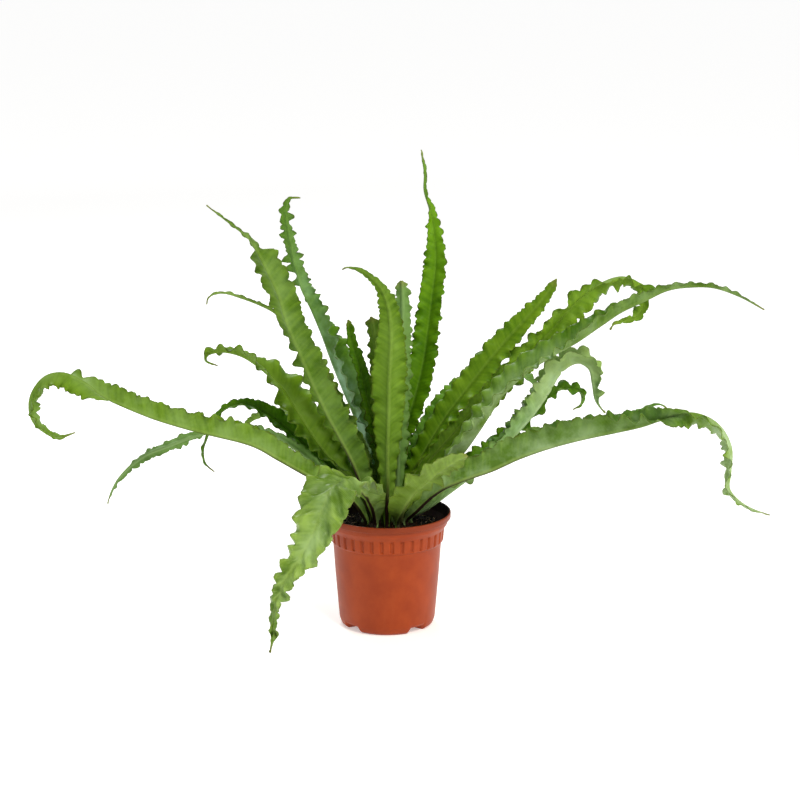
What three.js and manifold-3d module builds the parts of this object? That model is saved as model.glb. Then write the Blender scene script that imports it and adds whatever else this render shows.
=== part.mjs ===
// A potted strap fern: long waved fronds stand in a rosette on a short crown, in a moulded nursery pot.
// Millimetres, +Z up. The origin is the middle of the pot's underside, and the plant's front is its -Y side.

import * as THREE from 'three';
import { mergeVertices } from 'three/addons/utils/BufferGeometryUtils.js';
import Module from 'manifold-3d';

const wasm = await Module();
wasm.setup();

// ---- driving dimensions -------------------------------------------------------------------------

const clearance = 0.4;              // between pieces that touch

const pot = {
  height: 137,
  rimRadius: 75,                    // a 15 cm nursery pot
  footRadius: 50.5,
  bodyTopRadius: 63.8,
  bodyTop: 101,                     // height where the ribbed band starts
  bandTop: 118.5,                   // height where the ribs end
  lipBottom: 130,
  ribs: 35,
  ribDepth: 1.4,
  flat: 22,                         // radius of the level disc in the middle of the floor
  floor: 2,
  channels: 4,                      // drainage channels under the floor
  channelHeight: 6,
  channelWidth: 28,                 // degrees of the foot that a channel takes
  channelSide: 5,                   // degrees over which a channel's roof comes down at each side
  channelStart: 41,                 // degrees from +X to the first channel
  channelTaper: 8,                  // mm over which a channel deepens on its way out
  channelFade: 12,                  // height up the wall at which a channel is gone
  holeRadius: 4,
  holeCircle: 44,
  holeSides: 10,
};

const soil = {
  top: 119,
  mound: 4,                         // how much higher it lies at the crown than at the wall
  grain: 1.3,                       // height of its lumps
  wall: 63.6,                       // its radius at the surface
  bottom: 2.5,
  sides: 32,
};

const crown = { radius: 35, bottom: 107, shoulder: 118, slope: 16, top: 126, bevel: 4, sides: 18 };

const blade = {
  rootHeight: 114,                  // where every frond starts, down in the crown
  rootWidth: 7,
  edge: 0.8,                        // thickness at the margin
  ribAbove: 0.5,                    // how far the midrib stands above and below the blade's fold
  ribBelow: 2.2,
  stemLength: 26,                   // plain stem before the waves start
  widens: [8, 38],                  // where, along the stem, it grows from the root's width to the blade's
  settle: 40,                       // length over which the waves come in
  waveBase: 11.5,                   // wave length at the margin = waveBase + waveGrowth * width
  waveGrowth: 0.2,
  ruffle: 0.13,                     // wave height at the margin, as a share of the width
  scallop: 0.07,                    // how far the margin steps in and out, as a share of the half width
  drift: 1.9,                       // how far the waves of the two margins are out of step, in radians
  uneven: 0.9,                      // how far a wave may lie from its even place, in radians
  seedTurn: 1.7,                    // turn of that unevenness from one frond to the next, in radians
  steps: 320,                       // places along a frond where its midrib is worked out
};

const colours = {
  terracotta: 0xa84c2c, earth: 0x2a1d14, scales: 0x3b2a1c,
  young: 0x7fa83a, green: 0x5a8f2a, deep: 0x3c7420, pale: 0x7ba76a,
};

// ---- the fronds ---------------------------------------------------------------------------------
// azimuth and ring place the root on the crown. The route is the midrib, from just above the crown to the
// tip. width, twist and fold are read at even steps along the frond: the blade's full width in mm, its turn
// about the midrib in degrees, and how far each half is folded up from flat, in degrees.

const fronds = {
  frondLeftLong: {
    azimuth: -157, ring: 28, colour: 'green',
    route: [[-41, -14, 153], [-64, -18, 171], [-92, -23, 186], [-124, -28, 206], [-158, -33, 226],
      [-216, -40, 243], [-262, -44, 258], [-297, -47, 273], [-322, -48, 285], [-345, -49, 303],
      [-367, -49, 313], [-388, -49, 309], [-403, -48, 292], [-408, -47, 273], [-404, -46, 255],
      [-391, -44, 242], [-376, -42, 236], [-358, -40, 242]],
    width: [16, 22, 34, 44, 46, 42, 38, 37, 34, 20, 3],
    twist: [0, 0, 0, 0, 0, 0, 10, 110, 175, 175, 175],
    fold: [50, 60, 66, 66, 64, 62, 60, 40, 35, 30, 20],
  },
  frondLeftLow: {
    azimuth: 175, ring: 28, colour: 'pale',
    route: [[-41, 6, 148], [-65, 12, 171], [-93, 17, 195], [-123, 21, 216], [-154, 24, 227],
      [-185, 26, 231], [-211, 27, 224], [-233, 27, 218], [-259, 27, 208], [-283, 26, 199],
      [-302, 25, 186], [-317, 24, 170], [-326, 23, 154], [-331, 22, 139]],
    width: [16, 22, 16, 16, 16, 14, 10, 16, 14, 10, 3],
    twist: [0, 0, 20, 40, 40, 40, 60, 90, 120, 150, 180],
    fold: [50, 50, 45, 40, 40, 40, 30, 20],
  },
  frondLeftBehind: {
    azimuth: 150, ring: 28, colour: 'deep',
    route: [[-35, 26, 152], [-59, 38, 171], [-85, 48, 193], [-112, 55, 216], [-140, 60, 238],
      [-166, 62, 250], [-190, 62, 247], [-207, 60, 231], [-215, 57, 212], [-220, 54, 197],
      [-218, 52, 181], [-207, 50, 170]],
    width: [16, 22, 32, 36, 34, 28, 20, 12, 8, 6, 3],
    twist: [0, -15, -30, -30, -30, -20, 0, 0],
    fold: [50, 45, 35, 30, 30, 30, 20],
  },
  frondLeftArch: {
    azimuth: 186, ring: 18, colour: 'green',
    route: [[-25, 5, 161], [-48, 11, 178], [-70, 16, 199], [-87, 20, 222], [-104, 25, 248],
      [-122, 29, 276], [-144, 31, 298], [-168, 32, 315], [-191, 33, 321], [-209, 33, 318],
      [-212, 32, 310], [-199, 31, 304]],
    width: [10, 14, 30, 42, 52, 58, 60, 55, 44, 26, 5],
    twist: [0, -5, -20, -40, -50, -48, -40, -20, 0, 0, 0],
    fold: [50, 42, 30, 20, 15, 15, 20],
  },
  frondLeftTail: {
    azimuth: 225, ring: 8, colour: 'green',
    route: [[-16, -9, 162], [-33, -10, 213], [-52, -13, 259], [-72, -16, 301], [-93, -19, 340],
      [-111, -21, 365], [-130, -22, 380], [-148, -22, 389], [-167, -22, 396], [-184, -22, 401],
      [-197, -22, 400], [-204, -22, 395], [-206, -22, 388]],
    width: [10, 16, 22, 24, 24, 22, 18, 10, 7, 5, 3],
    twist: [0, 0, -10, -20, -20, -20, 0, 0],
    fold: [50, 45, 40, 35, 35, 30, 30, 20],
  },
  frondLeftBroad: {
    azimuth: -145, ring: 18, colour: 'green',
    route: [[-22, -16, 145], [-29, -22, 168], [-39, -30, 201], [-53, -38, 232], [-68, -46, 264],
      [-85, -54, 304], [-99, -60, 340], [-112, -64, 373], [-121, -67, 406], [-132, -69, 432],
      [-141, -70, 451], [-152, -71, 471], [-176, -71, 491], [-199, -70, 509]],
    width: [16, 18, 20, 30, 38, 43, 47, 49, 50, 49, 48, 47, 45, 43, 42, 41, 39, 12, 7, 5, 3],
    twist: [0, 5, 12, 14, 14, 14, 16, 30, 28, 0, 0],
    fold: [50, 45, 35, 25, 25, 25, 25, 25, 20, 10, 10],
  },
  frondLeftTall: {
    azimuth: 138, ring: 18, colour: 'deep',
    route: [[-16, 22, 153], [-24, 29, 197], [-36, 34, 237], [-50, 38, 271], [-64, 41, 306],
      [-75, 44, 337], [-87, 47, 366], [-99, 51, 390], [-106, 55, 413], [-111, 58, 435], [-115, 60, 459],
      [-118, 60, 482], [-114, 60, 497], [-101, 60, 499]],
    width: [12, 20, 34, 48, 57, 54, 38, 25, 20, 15, 4],
    twist: [0, 8, 15, 15, 15, 18, 40, 100, 130, 160, 180],
    fold: [50, 45, 45, 45, 45, 45, 35, 20],
  },
  frondFrontHang: {
    azimuth: -120, ring: 28, colour: 'young',
    route: [[-17, -36, 149], [-24, -56, 170], [-36, -80, 189], [-50, -104, 200], [-61, -124, 199],
      [-67, -136, 188], [-73, -143, 173], [-80, -150, 156], [-89, -155, 138], [-101, -159, 120],
      [-113, -162, 101], [-121, -165, 82], [-125, -167, 63], [-126, -169, 42], [-130, -170, 21]],
    width: [15, 28, 48, 64, 68, 62, 48, 31, 20, 11, 3],
    twist: [0, 0, 0],
    fold: [36, 30, 14, 0, 0, 0, 5, 10],
  },
  frondFrontRight: {
    azimuth: -62, ring: 28, colour: 'young',
    route: [[18, -43, 146], [28, -60, 170], [43, -73, 190], [60, -81, 207], [76, -86, 219],
      [91, -88, 227]],
    width: [11, 24, 43, 52, 54, 46, 28],
    twist: [0, 0],
    fold: [46, 28, 12, 5, 5],
  },
  frondCentreFront: {
    azimuth: -90, ring: 28, colour: 'green',
    route: [[0, -34, 150], [1, -38, 178], [1, -41, 215], [2, -44, 257], [3, -46, 305], [5, -46, 349],
      [3, -43, 383], [-5, -38, 407], [-18, -33, 421], [-31, -29, 429], [-44, -26, 431],
      [-50, -24, 428]],
    width: [17, 21, 22, 23, 24, 28, 33, 37, 40, 42, 44, 44, 42, 36, 32, 26, 22, 12, 8, 5, 3],
    twist: [0, 0],
    fold: [50, 35, 22, 20],
  },
  frondCentreTall: {
    azimuth: 80, ring: 8, colour: 'deep',
    route: [[5, 15, 139], [9, 23, 180], [19, 30, 221], [32, 34, 263], [42, 38, 304], [48, 43, 345],
      [53, 47, 386], [57, 51, 424], [55, 54, 459], [50, 56, 486], [44, 57, 508], [44, 58, 529],
      [40, 58, 555]],
    width: [13, 18, 26, 32, 36, 33, 31, 29, 17, 7, 3],
    twist: [0, 0, 0, 0, 0, 0, 0, 0, 20, 120, 180],
    fold: [50, 35, 25, 25, 25, 25],
  },
  frondCentreRight: {
    azimuth: -60, ring: 18, colour: 'pale',
    route: [[12, -17, 155], [14, -12, 202], [15, -6, 258], [17, -1, 316], [18, 2, 365], [18, 3, 392],
      [17, 2, 411]],
    width: [11, 20, 26, 27, 26, 24, 14],
    twist: [0, -20, -30, -30],
    fold: [50, 35, 30, 30],
  },
  frondCentreLeft: {
    azimuth: -105, ring: 18, colour: 'green',
    route: [[-5, -21, 162], [-6, -20, 216], [-9, -18, 269], [-12, -14, 315], [-15, -11, 350],
      [-18, -9, 371]],
    width: [13, 18, 24, 26, 24, 20, 14],
    twist: [0, 0],
    fold: [50, 35, 30, 30],
  },
  frondCentreShort: {
    azimuth: 150, ring: 8, colour: 'deep',
    route: [[-4, 3, 149], [-11, 8, 202], [-20, 12, 256], [-31, 15, 303], [-41, 17, 336],
      [-45, 18, 362]],
    width: [11, 22, 26, 26, 20, 15, 9],
    twist: [0, -20, -40, -40],
    fold: [50, 35, 30, 30],
  },
  frondRightLong: {
    azimuth: -33, ring: 28, colour: 'green',
    route: [[34, -26, 143], [51, -34, 162], [69, -42, 177], [93, -49, 189], [121, -55, 201],
      [152, -60, 217], [188, -64, 231], [225, -68, 242], [259, -71, 250], [288, -73, 257],
      [312, -74, 265], [336, -76, 273], [360, -77, 269], [379, -78, 255], [390, -79, 232],
      [390, -80, 205], [389, -81, 186], [400, -82, 172], [416, -83, 162], [436, -84, 155]],
    width: [13, 24, 44, 56, 56, 50, 36, 30, 24, 17, 4],
    twist: [0, -30, -40, -10, 0, 0, 30, 150, 180, 180, 180],
    fold: [50, 30, 30, 55, 62, 62, 55, 40, 35, 30, 20],
  },
  frondRightHigh: {
    azimuth: -22, ring: 18, colour: 'green',
    route: [[22, -13, 144], [43, -19, 168], [66, -24, 191], [87, -27, 214], [103, -28, 237],
      [117, -28, 259], [131, -28, 281], [147, -28, 298], [167, -28, 315], [190, -29, 330],
      [217, -30, 346], [242, -31, 364], [266, -32, 381], [292, -33, 394], [319, -34, 407],
      [346, -35, 411], [372, -36, 410], [401, -37, 400], [429, -38, 385]],
    width: [12, 24, 40, 46, 46, 44, 38, 24, 14, 9, 3],
    twist: [0, 0, 5, 15, 25, 30, 25, 0, -10, 0, 0],
    fold: [50, 48, 45, 40, 32, 32, 50, 60, 50, 40, 20],
  },
  frondRightBroad: {
    azimuth: 2, ring: 8, colour: 'green',
    route: [[16, 3, 149], [30, 7, 178], [49, 12, 213], [70, 18, 247], [94, 25, 278], [117, 31, 307],
      [139, 36, 333], [160, 39, 356], [179, 41, 377], [191, 42, 393], [198, 42, 406]],
    width: [13, 20, 28, 34, 36, 36, 35, 33, 27, 18, 9],
    twist: [0, 20, 40, 55, 60, 60],
    fold: [50, 35, 20, 12, 12, 12],
  },
  frondRightCurly: {
    azimuth: 70, ring: 18, colour: 'green',
    route: [[22, 29, 148], [46, 44, 181], [80, 55, 218], [115, 61, 259], [151, 66, 297], [185, 70, 328],
      [212, 74, 359], [233, 76, 380], [256, 78, 395], [277, 79, 401], [294, 80, 396], [304, 81, 382],
      [304, 82, 364], [296, 83, 353], [283, 82, 349], [272, 80, 346], [265, 78, 338]],
    width: [10, 20, 32, 36, 36, 36, 36, 36, 32, 25, 12, 3],
    twist: [0, 15, 30, 40, 40, 40, 40, 60, 90, 60, 40],
    fold: [50, 40, 30, 25, 25, 30, 30, 30, 20, 20, 20],
  },
  frondRightArch: {
    azimuth: -2, ring: 28, colour: 'pale',
    route: [[46, 0, 139], [74, 0, 160], [107, 1, 186], [135, 3, 213], [158, 5, 237], [176, 7, 259],
      [189, 8, 279], [199, 9, 297], [211, 9, 309], [224, 9, 313], [236, 9, 305], [240, 9, 288],
      [244, 9, 268], [255, 9, 253]],
    width: [14, 18, 20, 22, 26, 33, 39, 41, 38, 24, 4],
    twist: [0, 0],
    fold: [50, 50, 50, 55, 55, 60, 65, 65, 60, 40, 30],
  },
  frondRightCurl: {
    azimuth: 22, ring: 18, colour: 'deep',
    route: [[29, 13, 142], [55, 20, 161], [86, 29, 176], [120, 36, 195], [150, 40, 220], [175, 41, 246],
      [194, 41, 268], [211, 41, 275], [227, 41, 272], [230, 41, 257], [220, 40, 249]],
    width: [10, 19, 25, 28, 31, 31, 28, 24, 18, 12, 4],
    twist: [0, 15, 30, 30, 30, 30],
    fold: [50, 40, 35, 30, 30, 30],
  },
  frondRightBehind: {
    azimuth: 34, ring: 28, colour: 'deep',
    route: [[46, 27, 140], [80, 50, 163], [133, 70, 184], [188, 82, 204], [242, 88, 218],
      [279, 92, 224], [306, 94, 235], [327, 95, 243], [340, 95, 237]],
    width: [16, 22, 30, 34, 34, 32, 28, 20, 14, 8, 3],
    twist: [0, 0],
    fold: [50, 50, 50, 50, 45, 40, 30, 20],
  },
  frondBackArch: {
    azimuth: 90, ring: 28, colour: 'green',
    route: [[1, 42, 150], [3, 74, 192], [6, 114, 234], [7, 160, 266], [4, 210, 280], [-4, 256, 272],
      [-10, 294, 246], [-12, 318, 214]],
    width: [16, 24, 34, 40, 40, 36, 30, 20, 10, 3],
    twist: [0, 0, 0, 20],
    fold: [50, 35, 25, 25, 30, 20],
  },
  frondBackLow: {
    azimuth: 120, ring: 28, colour: 'green',
    route: [[-24, 42, 148], [-48, 80, 180], [-82, 126, 204], [-120, 170, 212], [-158, 208, 202],
      [-188, 236, 178]],
    width: [16, 26, 38, 42, 38, 30, 20, 3],
    twist: [0, 0, 0, 30],
    fold: [50, 40, 35, 35, 20],
  },
  frondBackRight: {
    azimuth: 64, ring: 28, colour: 'deep',
    route: [[22, 50, 150], [46, 90, 196], [76, 132, 234], [112, 170, 258], [150, 206, 260],
      [180, 238, 240], [204, 260, 208]],
    width: [16, 26, 36, 40, 36, 28, 18, 3],
    twist: [0, 0, 0, -30],
    fold: [50, 35, 30, 30, 20],
  },
  frondBackTall: {
    azimuth: 94, ring: 21, colour: 'deep',
    route: [[4, 32, 155], [8, 56, 215], [11, 83, 278], [14, 103, 330], [16, 117, 362]],
    width: [11, 22, 28, 30, 26, 16, 3],
    twist: [0, 0],
    fold: [50, 30, 20, 20],
  },
};

// ---- helpers ------------------------------------------------------------------------------------

// Joins a geometry's shared corners and drops faces that have no area.
function weld(geometry) {
  const bare = geometry.clone();
  bare.deleteAttribute('normal');
  bare.deleteAttribute('uv');
  const merged = mergeVertices(bare, 1e-3);
  const faces = [];
  for (let i = 0; i < merged.index.count; i += 3) {
    const [a, b, c] = [0, 1, 2].map((k) => merged.index.getX(i + k));
    if (a !== b && b !== c && c !== a) {
      faces.push(a, b, c);
    }
  }
  merged.setIndex(faces);
  return merged;
}

function solid(geometry) {
  const welded = weld(geometry);
  return new wasm.Manifold(new wasm.Mesh({
    numProp: 3,
    vertProperties: new Float32Array(welded.attributes.position.array),
    triVerts: new Uint32Array(welded.index.array),
  }));
}

function surface(body) {
  const mesh = body.getMesh();
  const geometry = new THREE.BufferGeometry();
  geometry.setAttribute('position', new THREE.BufferAttribute(new Float32Array(mesh.vertProperties), 3));
  geometry.setIndex(new THREE.BufferAttribute(new Uint32Array(mesh.triVerts), 1));
  return geometry;
}

// Spins a profile of [radius, height] points about Z. form(radius, height, angle) may move a point.
function spin(profile, sides, form = (radius, height) => [radius, height]) {
  const points = profile.map(([radius, height]) => new THREE.Vector2(radius, height));
  const geometry = new THREE.LatheGeometry(points, sides).rotateX(Math.PI / 2);
  const place = geometry.attributes.position;
  for (let i = 0; i < place.count; i++) {
    const angle = Math.atan2(place.getY(i), place.getX(i));
    const radius = Math.hypot(place.getX(i), place.getY(i));
    const [newRadius, height] = form(radius, place.getZ(i), radius > 0 ? angle : 0);
    place.setXYZ(i, newRadius * Math.cos(angle), newRadius * Math.sin(angle), height);
  }
  return geometry;
}

// A value read from a list whose entries stand at even steps from share 0 to share 1.
function along(list, share) {
  const place = Math.min(Math.max(share, 0), 1) * (list.length - 1);
  const step = Math.min(Math.floor(place), list.length - 2);
  return list[step] + (list[step + 1] - list[step]) * (place - step);
}

// ---- pot, soil and crown ------------------------------------------------------------------------

// How much of a drainage channel there is at an angle: 1 in its middle, 0 between channels.
function channelShare(angle) {
  const turn = 360 / pot.channels;
  const degrees = THREE.MathUtils.radToDeg(angle) - pot.channelStart;
  const away = Math.abs(THREE.MathUtils.euclideanModulo(degrees + turn / 2, turn) - turn / 2);
  return THREE.MathUtils.clamp((pot.channelWidth / 2 - away) / pot.channelSide, 0, 1);
}

function potGeometry() {
  const outside = [
    [0, 0], [pot.flat, 0], [pot.footRadius, 0], [54.6, 3], [56.6, 9], [61.2, 64],
    [pot.bodyTopRadius, pot.bodyTop], [65.6, pot.bodyTop + 1.6], [66.4, pot.bodyTop + 4],
    [67.6, pot.bandTop], [71.6, 124.5], [72.6, pot.lipBottom - 0.4],
    [pot.rimRadius, pot.lipBottom + 0.4], [pot.rimRadius, pot.height - 1],
    [pot.rimRadius - 1, pot.height],
  ];
  const inside = [
    [72.8, pot.height], [70.2, 125.5], [64.4, 119], [62, pot.bodyTop], [54.8, 9], [49, 3.8],
    [pot.flat, pot.floor], [0, pot.floor],
  ];
  const shape = spin([...outside, ...inside], pot.ribs * 2, (radius, height, angle) => {
    const inBand = height > pot.bodyTop + 3 && height < pot.bandTop + 1 && radius > pot.bodyTopRadius + 1.7;
    const column = Math.round((THREE.MathUtils.radToDeg(angle) + 90) / (180 / pot.ribs));
    const groove = column % 2 !== 0;
    const reach = THREE.MathUtils.clamp((radius - pot.flat) / pot.channelTaper, 0, 1);
    const fade = THREE.MathUtils.clamp(1 - height / pot.channelFade, 0, 1);
    const rise = pot.channelHeight * channelShare(angle) * reach * fade;
    return [inBand && groove ? radius - pot.ribDepth : radius, height + rise];
  });
  let body = solid(shape);
  for (let i = 0; i < pot.channels; i++) {
    const angle = THREE.MathUtils.degToRad(pot.channelStart + (360 / pot.channels) * i);
    const [radius, depth] = [pot.holeRadius, pot.holeCircle / 2];
    const drill = new THREE.CylinderGeometry(radius, radius, depth, pot.holeSides).rotateX(Math.PI / 2);
    drill.translate(pot.holeCircle * Math.cos(angle), pot.holeCircle * Math.sin(angle), 0);
    body = body.subtract(solid(drill));
  }
  return surface(body);
}

// Height of the crumbled soil surface.
function soilHeight(radius, angle) {
  const slope = soil.mound * (1 - radius / soil.wall);
  const rings = Math.sin(radius * 0.9 + 3 * angle);
  const spokes = Math.sin(7 * angle - radius * 0.5) + Math.sin(11 * angle);
  return soil.top + slope + soil.grain * 0.5 * (rings + spokes);
}

function soilGeometry() {
  const inner = crown.radius + clearance;
  const seat = crown.bottom - clearance;
  const surfaceRings = [41, 48, 55, 60, soil.wall].map((radius) => [radius, soil.top]);
  const profile = [
    [0, seat], [inner, seat], [inner, crown.shoulder + 1], ...surfaceRings,
    [61.4, pot.bodyTop], [54.9, 16], [48, 11], [32, 9.5], [20, soil.bottom], [0, soil.bottom],
  ];
  const shape = spin(profile.reverse(), soil.sides, (radius, height, angle) => (
    height === soil.top && radius > inner + 1 ? [radius, soilHeight(radius, angle)] : [radius, height]
  ));
  return surface(solid(shape));
}

function crownGeometry(sockets) {
  const profile = [
    [0, crown.bottom], [crown.radius - crown.bevel, crown.bottom], [crown.radius, crown.bottom + crown.bevel],
    [crown.radius, crown.shoulder], [crown.radius - crown.bevel, crown.shoulder + crown.bevel],
    [crown.slope, crown.top - 1], [0, crown.top],
  ];
  let body = solid(spin(profile, crown.sides));
  for (const socket of sockets) {
    body = body.subtract(solid(socket));
  }
  const parts = body.decompose().sort((a, b) => b.volume() - a.volume());
  return surface(parts[0]);
}

// ---- frond --------------------------------------------------------------------------------------

// The midrib and the blade's directions at even steps along it.
function midribOf(frond) {
  const angle = THREE.MathUtils.degToRad(frond.azimuth);
  const outward = new THREE.Vector3(Math.cos(angle), Math.sin(angle), 0);
  const root = outward.clone().multiplyScalar(frond.ring);
  const points = [0, 8, 16].map((rise) => root.clone().setZ(blade.rootHeight + rise));
  for (const point of frond.route) {
    points.push(new THREE.Vector3(...point));
  }
  const curve = new THREE.CatmullRomCurve3(points, false, 'catmullrom', 0.5);
  curve.arcLengthDivisions = 400;
  const length = curve.getLength();
  const rows = [];
  let side = new THREE.Vector3(-outward.y, outward.x, 0);
  let phase = 0;
  for (let i = 0; i <= blade.steps; i++) {
    const share = i / blade.steps;
    const tangent = curve.getTangentAt(share).normalize();
    side = side.clone().addScaledVector(tangent, -side.dot(tangent)).normalize();
    const width = bladeWidth(frond, share, length);
    const twist = THREE.MathUtils.degToRad(along(frond.twist, share));
    const turned = side.clone().applyAxisAngle(tangent, twist);
    rows.push({
      at: share * length,
      share,
      width,
      phase,
      point: curve.getPointAt(share),
      tangent,
      side: turned,
      face: new THREE.Vector3().crossVectors(turned, tangent).negate(),
      fold: THREE.MathUtils.degToRad(along(frond.fold, share)),
    });
    if (share * length > blade.stemLength) {
      phase += (2 * Math.PI * length) / blade.steps / (blade.waveBase + blade.waveGrowth * width);
    }
  }
  return rows;
}

function bladeWidth(frond, share, length) {
  const stem = THREE.MathUtils.smoothstep(share * length, ...blade.widens);
  return blade.rootWidth + (along(frond.width, share) - blade.rootWidth) * stem;
}

// The wave's own angle on one margin: each margin runs to its own uneven beat.
function beat(row, hand, seed) {
  const drift = hand > 0 ? 0 : blade.drift;
  return row.phase + drift + blade.uneven * Math.sin(row.phase / 5.3 + seed * blade.seedTurn + drift);
}

function rowAt(rows, place) {
  const step = Math.min(Math.floor(place), rows.length - 2);
  const [a, b, share] = [rows[step], rows[step + 1], place - step];
  const mixed = {};
  for (const key of ['at', 'share', 'width', 'phase', 'fold']) {
    mixed[key] = a[key] + (b[key] - a[key]) * share;
  }
  for (const key of ['point', 'tangent', 'side', 'face']) {
    mixed[key] = a[key].clone().lerp(b[key], share);
  }
  return mixed;
}

// Places, counted in rows, where the stem's plain stations and then the crests and troughs lie.
function stationPlaces(rows, angleOf, spacing) {
  const last = rows.length - 1;
  const perMm = last / rows[last].at;
  const places = [0, blade.stemLength / 2, blade.stemLength].map((at) => at * perMm);
  for (let i = Math.ceil(places[2]) + 1; i < last; i++) {
    const before = Math.floor((angleOf(rows[i - 1]) - Math.PI / 2) / spacing);
    const after = Math.floor((angleOf(rows[i]) - Math.PI / 2) / spacing);
    const nearTip = (last - i) / perMm < blade.widens[0] / 2;
    if (after > before && !nearTip) {
      places.push(i);
    }
  }
  places.push(last);
  return places;
}

// The midrib's point. A socket, which is a stem with something to spare, starts a little lower.
function startOf(row, spare) {
  return row.point.clone().addScaledVector(row.tangent, row.at > 0 ? 0 : -spare);
}

// Corner pairs, upper and lower, of the midrib and of one margin at a place along the frond.
function ribPair(row, spare) {
  const thin = 0.45 + 0.55 * (1 - row.share);
  const middle = startOf(row, spare);
  return [
    middle.clone().addScaledVector(row.face, blade.ribAbove + spare),
    middle.clone().addScaledVector(row.face, -blade.ribBelow * thin - spare),
  ];
}

function marginPair(row, hand, seed, spare) {
  const angle = beat(row, hand, seed);
  const grown = THREE.MathUtils.smoothstep(row.at, blade.stemLength, blade.stemLength + blade.settle);
  const wave = Math.sin(angle) * grown * (0.8 + 0.35 * Math.sin(angle / 4.7 + seed));
  const half = (row.width / 2) * (1 + blade.scallop * wave) + spare;
  const reach = row.side.clone().multiplyScalar(hand * Math.cos(row.fold));
  reach.addScaledVector(row.face, Math.sin(row.fold));
  const lift = row.face.clone().multiplyScalar(Math.cos(row.fold));
  lift.addScaledVector(row.side, -hand * Math.sin(row.fold));
  const edge = startOf(row, spare).addScaledVector(reach, half);
  edge.addScaledVector(lift, blade.ruffle * row.width * wave);
  return [
    edge.clone().addScaledVector(lift, blade.edge / 2 + spare),
    edge.clone().addScaledVector(lift, -blade.edge / 2 - spare),
  ];
}

// A closed blade: upper and lower faces share one split into triangles, and a thin edge joins them.
function frondGeometry(rows, seed, limit = Infinity, spare = 0) {
  const corners = [];
  const faces = [];
  const add = (pair) => corners.push(...pair) - 2;
  const within = (place) => rowAt(rows, place).at <= limit + 1e-6;
  const ribPlaces = stationPlaces(rows, (row) => row.phase, 2 * Math.PI).filter(within);
  const rib = ribPlaces.map((place) => ({ place, pair: add(ribPair(rowAt(rows, place), spare)) }));
  for (const hand of [1, -1]) {
    const places = stationPlaces(rows, (row) => beat(row, hand, seed), Math.PI).filter(within);
    const margin = places.map((place) => {
      const pair = marginPair(rowAt(rows, place), hand, seed, spare);
      return { place, pair: add(pair) };
    });
    const put = (a, b, c) => faces.push(...(hand < 0 ? [a, b, c] : [a, c, b]));
    let [i, j] = [0, 0];
    while (i < rib.length - 1 || j < margin.length - 1) {
      const [p, q] = [rib[i].pair, margin[j].pair];
      const ribNext = j === margin.length - 1
        || (i < rib.length - 1 && rib[i + 1].place <= margin[j + 1].place);
      const next = ribNext ? rib[i + 1].pair : margin[j + 1].pair;
      put(p, q, next);
      put(p + 1, next + 1, q + 1);
      if (ribNext) {
        i += 1;
      } else {
        put(q, q + 1, next);
        put(q + 1, next + 1, next);
        j += 1;
      }
    }
    const ends = [[rib[0].pair, margin[0].pair], [margin.at(-1).pair, rib.at(-1).pair]];
    for (const [a, b] of ends) {
      put(a, a + 1, b);
      put(a + 1, b + 1, b);
    }
  }
  const geometry = new THREE.BufferGeometry();
  const place = new Float32Array(corners.flatMap((corner) => corner.toArray()));
  geometry.setAttribute('position', new THREE.BufferAttribute(place, 3));
  geometry.setIndex(faces);
  return geometry;
}

// ---- assembly -----------------------------------------------------------------------------------

function piece(name, geometry, colour, roughness) {
  const material = new THREE.MeshStandardMaterial({ color: colour, roughness, metalness: 0 });
  const mesh = new THREE.Mesh(geometry, material);
  mesh.name = name;
  return mesh;
}

const plant = new THREE.Group();
const sockets = [];

Object.entries(fronds).forEach(([name, frond], seed) => {
  const rows = midribOf(frond);
  plant.add(piece(name, frondGeometry(rows, seed), colours[frond.colour], 0.45));
  sockets.push(frondGeometry(rows, seed, blade.stemLength, clearance));
});

const holder = new THREE.Group();
holder.add(piece('pot', potGeometry(), colours.terracotta, 0.5));
holder.add(piece('soil', soilGeometry(), colours.earth, 0.95));
plant.add(piece('crown', crownGeometry(sockets), colours.scales, 0.9));

const pottedFern = new THREE.Group();
pottedFern.add(holder, plant);

export default pottedFern;
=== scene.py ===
import math
import random
from functools import partial

import bmesh
import bpy
from mathutils import Matrix, Quaternion, Vector, noise


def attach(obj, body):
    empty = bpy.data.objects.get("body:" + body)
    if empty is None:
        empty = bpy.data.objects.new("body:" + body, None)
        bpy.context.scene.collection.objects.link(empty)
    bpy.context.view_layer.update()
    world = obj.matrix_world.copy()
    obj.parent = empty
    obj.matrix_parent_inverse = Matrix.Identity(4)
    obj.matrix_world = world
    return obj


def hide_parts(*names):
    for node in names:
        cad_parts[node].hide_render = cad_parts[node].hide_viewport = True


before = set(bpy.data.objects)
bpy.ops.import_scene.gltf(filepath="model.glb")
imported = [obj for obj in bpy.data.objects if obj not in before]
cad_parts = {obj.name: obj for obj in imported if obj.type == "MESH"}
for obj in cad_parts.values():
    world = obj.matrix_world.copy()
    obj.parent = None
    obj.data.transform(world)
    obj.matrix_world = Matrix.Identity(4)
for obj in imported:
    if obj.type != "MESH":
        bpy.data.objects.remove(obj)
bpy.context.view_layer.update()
print("frame loaded:", len(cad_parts), "nodes")

mm = 0.001
weldReach = 0.01 * mm  # points nearer to each other than this become one


# small helpers used by every piece

def linear(hexColour):
    parts = [int(hexColour[i:i + 2], 16) / 255 for i in (1, 3, 5)]
    return [c / 12.92 if c <= 0.04045 else ((c + 0.055) / 1.055) ** 2.4 for c in parts] + [1.0]


def smoothStep(value, low, high):
    share = min(max((value - low) / (high - low), 0), 1)
    return share * share * (3 - 2 * share)


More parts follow.
